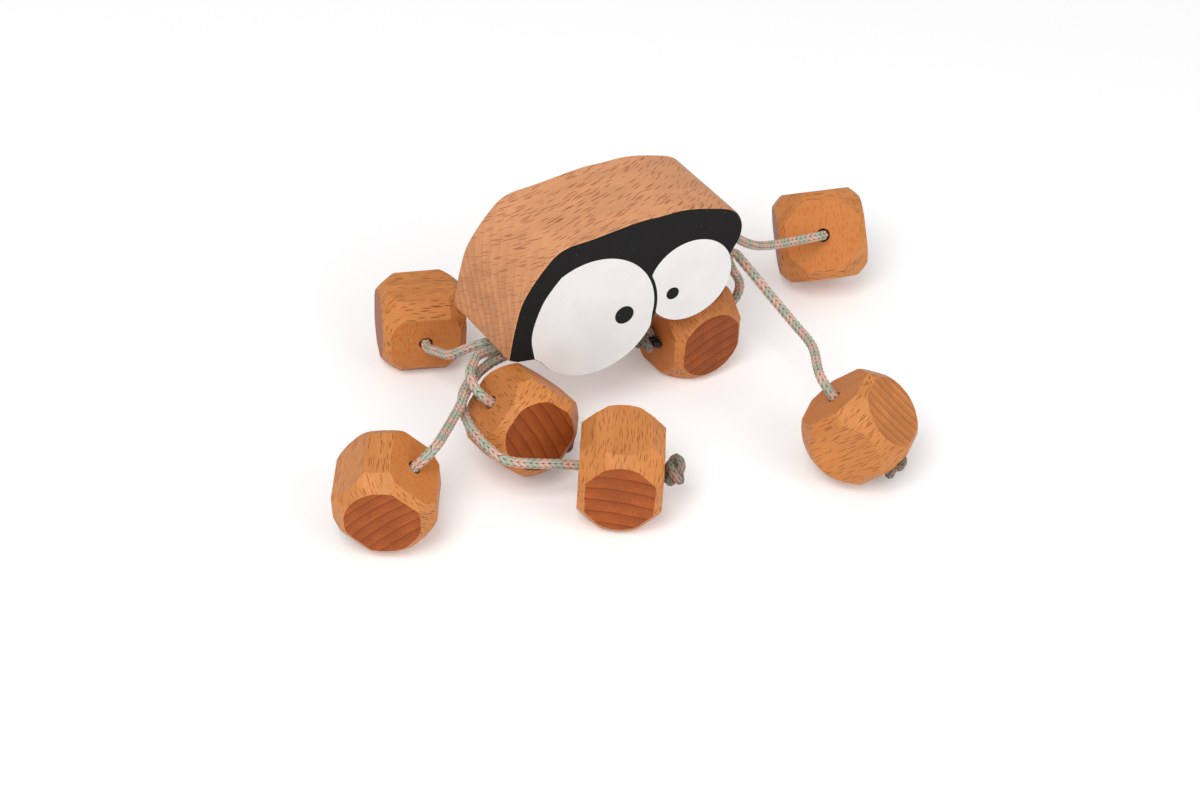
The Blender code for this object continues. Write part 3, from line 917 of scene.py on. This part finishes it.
def braided_cord(name, points, look, finish, diameter, round_ends, melted=0.0):
    """A closed knitted tube along points; its mesh keeps what the yarn's colours need."""
    around = 2 * look.wales * STITCH_SIDES
    line, places = even_line(points, BRAID_STEP)
    tangents, sides, ups = frames_along(line)
    height, row, part, leg = stitches(places, around, look)
    rings = diameter / 2.0 - look.relief * (1.0 - height)
    burnt = np.broadcast_to((places[-1] - places < melted)[:, None], height.shape)
    values = {"height": height, "pink": row // 2 % 2, "leg": leg, "row": row + part, "melted": burnt}
    angles = math.tau * np.arange(around) / around
    spokes = (np.cos(angles)[None, :, None] * sides[:, None, :]
              + np.sin(angles)[None, :, None] * ups[:, None, :])
    rows = list(line[:, None, :] + spokes * rings[:, :, None])
    values = {label: list(value.astype(float)) for label, value in values.items()}
    tips = [line[0], line[-1]]
    for end, at, out in ((0, 0, -tangents[0]), (1, -1, tangents[-1])):
        if not round_ends[end]:
            continue
        tips[end] = line[at] + out * diameter / 2.0
        for angle in np.radians((66.0, 44.0, 22.0)):
            ring = line[at] + spokes[at] * (rings[at][:, None] * math.sin(angle))
            ring = ring + out * (diameter / 2.0 * math.cos(angle))
            place = 0 if end == 0 else len(rows)
            rows.insert(place, ring)
            for value in values.values():
                value.insert(place, value[at])
    corners = np.vstack([np.array(rows).reshape(-1, 3), tips])
    mesh = bpy.data.meshes.new(name)
    mesh.from_pydata(corners.tolist(), [], tube_faces(len(rows), around))
    for label, value in values.items():
        numbers = np.append(np.array(value).ravel(), (value[0][0], value[-1][0]))
        mesh.attributes.new(label, "FLOAT", "POINT").data.foreach_set(
            "value", numbers.astype(np.float32)
        )
    mesh.shade_smooth()
    return add_piece(name, mesh, finish), line


def on_hole(number, distance):
    """A point of a leg's hole axis, distance past the foot's middle towards the knot."""
    return foot_centre(number) + hole_turn(number).to_3x3() @ Vector((distance, 0.0, 0.0))


def entry_arc(number):
    """The cord's round turn from its last point before the foot into line with the hole."""
    start = on_hole(number, -FOOT_LENGTH / 2.0 - ENTRY_GAP)
    away = Vector(LEGS[number].via[-1]) - start
    back = hole_turn(number).to_3x3() @ Vector((-1.0, 0.0, 0.0))
    level = away.dot(back)
    side = (away - back * level).normalized()
    rise = away.dot(side) - ENTRY_BEND
    turn = math.radians(90.0) + math.atan2(rise, level) - math.acos(
        ENTRY_BEND / math.hypot(rise, level)
    )
    count = max(1, round(turn / ENTRY_STEP))
    angles = [turn * index / count for index in range(count, -1, -1)]
    arc = [start + (back * math.sin(angle) + side * (1.0 - math.cos(angle))) * ENTRY_BEND
           for angle in angles]
    return [arc[0] + (back * math.cos(turn) + side * math.sin(turn)) * ENTRY_LEAD, *arc]


def build_loose_cord(number, look, finish):
    """The loose cord of a leg, from its hinge through the foot to where its knot starts."""
    span = FOOT_LENGTH - CORD_SHORT
    inside = [on_hole(number, span * step / HOLE_STEPS - FOOT_LENGTH / 2.0)
              for step in range(1, HOLE_STEPS + 1)]
    via = [Vector(point) for point in LEGS[number].via]
    route = [hinge_point(number), *via, *entry_arc(number), *inside]
    points = smooth_points(route, ROUTE_STEP)
    cord, line = braided_cord(
        f"loose_cord_{number}", points, look, finish, look.diameter, (True, False)
    )
    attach(cord, f"leg_{number}")
    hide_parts(f"leg_cord_{number}")
    length = sum((b - a).length for a, b in zip(points, points[1:]))
    hinge_point(number)
    [tuple(point) for point in line]


def knot_line():
    """An overhand knot drawn tight, from the hole's mouth along X, with its tail out sideways.

    The cord goes round the X axis twice while it winds three times about its own ring.
    """
    ring, winding, middle, stretch = 0.0023, 0.0015, 0.0033, 1.15
    first, last, count = 2.05, math.tau + 1.20, 34
    bend, tail = 0.0015, 0.0018
    points = [Vector((-0.0002, 0.0, 0.0)), Vector((0.0006, 0.0002, 0.0))]
    for index in range(count + 1):
        t = first + (last - first) * index / count
        around = ring + winding * math.cos(3.0 * t)
        points.append(Vector((
            middle + stretch * winding * math.sin(3.0 * t), around * math.cos(2.0 * t),
            around * math.sin(2.0 * t),
        )))
    out = (points[-1] - points[-2]).normalized()
    away = Vector((0.0, points[-1].y, points[-1].z)).normalized()
    points.append(points[-1] + (out * 0.7 + away * 0.7).normalized() * bend)
    points.append(points[-1] + (out * 0.5 + away).normalized() * tail)
    return points


def build_knot(number, look, finish):
    """A leg's knot, drawn up to the foot, its tail's end melted black."""
    turn = hole_turn(number) @ Matrix.Rotation(KNOT_TURN * number, 4, "X")
    place = Matrix.Translation(on_hole(number, FOOT_LENGTH / 2.0)) @ turn
    points = [place @ point for point in smooth_points(knot_line(), ROUTE_STEP)]
    knot, _ = braided_cord(
        f"cord_knot_{number}", points, look, finish, look.diameter * KNOT_DRAWN, (False, True),
        TAIL_MELTED,
    )
    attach(knot, f"leg_{number}")
    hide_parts(f"knot_{number}")


def build_through_cord(left, right, row, side, look, finish):
    """The held middle of a cord, through the bore to the hinges of its two legs."""
    place = body_place()
    first, last = BORE_ENDS[0] + BORE_TURN, BORE_ENDS[1] - BORE_TURN
    across = [first + (last - first) * index / BORE_STEPS for index in range(BORE_STEPS + 1)]
    inside = [
        place @ Vector((x, BORE_BACK + side * CORD_OFFSET, BORE_LEVEL + row * CORD_OFFSET))
        for x in (BORE_ENDS[0], *across, BORE_ENDS[1])
    ]
    held_left = [Vector(point) for point in LEGS[left].held]
    held_right = [Vector(point) for point in LEGS[right].held]
    route = [hinge_point(left), *reversed(held_left), *inside, *held_right, hinge_point(right)]
    cord, _ = braided_cord(
        f"held_cord_{left}_{right}", smooth_points(route, ROUTE_STEP), look, finish,
        look.diameter * HELD_DRAWN, (True, True),
    )
    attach(cord, "body")
    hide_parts(f"through_cord_{left}_{right}")


class BuildBody(bpy.types.Operator):
    """Build the beech body and its painted face"""

    bl_idname = "spider.build_body"
    bl_label = "Body"

    def execute(self, context):
        """Build the body in place of its plain part."""
        build_body(context.scene.spider_body)
        return {"FINISHED"}


class BuildFeet(bpy.types.Operator):
    """Build the eight wooden feet"""

    bl_idname = "spider.build_feet"
    bl_label = "Feet"

    def execute(self, context):
        """Build each foot in place of its plain part."""
        for number in LEGS:
            build_foot(number, context.scene.spider_feet)
        return {"FINISHED"}


class BuildCords(bpy.types.Operator):
    """Build the braided cords and their knots"""

    bl_idname = "spider.build_cords"
    bl_label = "Cords and Knots"

    def execute(self, context):
        """Build the knots, the loose cords and the cords' held middles."""
        look = context.scene.spider_cord
        # The knots' yarn is the cord's yarn darkened as painted shade
        knot_finish_painted_shade = yarn("knot_yarn_painted_shade", look, look.painted_knot_shade)
        cord_finish = yarn("cord_yarn", look, 1.0)
        for number in LEGS:
            build_knot(number, look, knot_finish_painted_shade)
            build_loose_cord(number, look, cord_finish)
        for through in THROUGH_CORDS:
            build_through_cord(*through, look, cord_finish)
        return {"FINISHED"}


class BuildStage(bpy.types.Operator):
    """Set the camera, the floor and the soft light"""

    bl_idname = "spider.build_stage"
    bl_label = "Floor, Light and Camera"

    def execute(self, context):
        """Build what the toy stands on and is seen by."""
        context.scene.view_settings.view_transform = "Standard"
        build_camera(context.scene)
        build_floor(context.scene.spider_stage)
        build_lights(context.scene, context.scene.spider_stage)
        return {"FINISHED"}


def build_camera(scene):
    """The camera, at the photograph's viewing angle."""
    data = bpy.data.cameras.new("camera")
    data.lens = CAMERA_LENS
    data.sensor_width = 36.0
    camera = bpy.data.objects.new("camera", data)
    scene.collection.objects.link(camera)
    right, up = CAMERA_RIGHT.normalized(), -CAMERA_DOWN.normalized()
    back = right.cross(up).normalized()
    up = back.cross(right)
    turn = Matrix((right, up, back)).transposed().to_4x4()
    camera.matrix_world = Matrix.Translation(CAMERA_PLACE) @ turn
    scene.camera = camera


def build_floor(look):
    """A wide pale floor, brightened towards white only as it is seen."""
    shape = bmesh.new()
    bmesh.ops.create_grid(shape, x_segments=1, y_segments=1, size=6.0)
    pale = Finish("floor_paint")
    patches = pale.noise(pale.coordinates()["Object"], 3.0)
    pale.surface(pale.blend(patches, tone(look.floor, 0.99), tone(look.floor, 1.01)), 0.9, 0.1)
    rays = pale.tree.nodes.new("ShaderNodeLightPath").outputs
    seen = pale.numbers("MAXIMUM", rays["Is Camera Ray"], rays["Is Glossy Ray"])
    seen = pale.numbers("MAXIMUM", seen, rays["Is Transmission Ray"])
    pale.shader.inputs["Emission Color"].default_value = (1.0, 1.0, 1.0, 1.0)
    pale.put(pale.shader.inputs["Emission Strength"], pale.times(seen, look.backdrop))
    add_piece("floor", mesh_from("floor", shape), pale.material)


def build_lights(scene, look):
    """Even white light from all round and two soft lamps."""
    world = bpy.data.worlds.new("studio")
    scene.world = world
    world.use_nodes = True
    sky = world.node_tree.nodes["Background"]
    sky.inputs["Color"].default_value = (1.0, 1.0, 1.0, 1.0)
    sky.inputs["Strength"].default_value = look.sky
    for name, place, size, power in (
        ("key_lamp", (-0.70, -0.55, 1.15), 0.8, look.key),
        ("fill_lamp", (0.45, -1.05, 0.75), 1.0, look.fill),
    ):
        data = bpy.data.lights.new(name, "AREA")
        data.shape = "DISK"
        data.size = size
        data.energy = power
        lamp = bpy.data.objects.new(name, data)
        lamp.location = place
        lamp.rotation_euler = (-Vector(place)).to_track_quat("-Z", "Y").to_euler()
        scene.collection.objects.link(lamp)


class SpiderPanel(bpy.types.Panel):
    """The toy spider's pieces and their settings."""

    bl_idname = "VIEW3D_PT_toy_spider"
    bl_label = "Toy Spider"
    bl_space_type = "VIEW_3D"
    bl_region_type = "UI"
    bl_category = "Toy Spider"

    def draw(self, context):
        """List each operator with the settings that it reads."""
        for operator, label in (
            (BuildStage, "spider_stage"), (BuildCords, "spider_cord"),
            (BuildBody, "spider_body"), (BuildFeet, "spider_feet"),
        ):
            column = self.layout.box().column()
            column.operator(operator.bl_idname)
            settings = getattr(context.scene, label)
            for name in settings.__annotations__:
                column.prop(settings, name)


SETTINGS = (
    ("spider_body", SpiderBody), ("spider_feet", SpiderFeet), ("spider_cord", SpiderCord),
    ("spider_stage", SpiderStage),
)
OPERATORS = (BuildBody, BuildFeet, BuildCords, BuildStage)


def register():
    """Make the settings, operators and panel known to Blender."""
    for label, group in SETTINGS:
        bpy.utils.register_class(group)
        setattr(bpy.types.Scene, label, PointerProperty(type=group))
    for item in (*OPERATORS, SpiderPanel):
        bpy.utils.register_class(item)


def unregister():
    """Take them back out."""
    for item in (SpiderPanel, *reversed(OPERATORS)):
        bpy.utils.unregister_class(item)
    for label, group in reversed(SETTINGS):
        delattr(bpy.types.Scene, label)
        bpy.utils.unregister_class(group)


def main():
    """Build everything in order."""
    register()
    bpy.ops.spider.build_stage()
    bpy.ops.spider.build_cords()
    bpy.ops.spider.build_body()
    bpy.ops.spider.build_feet()


if __name__ == "__main__":
    main()
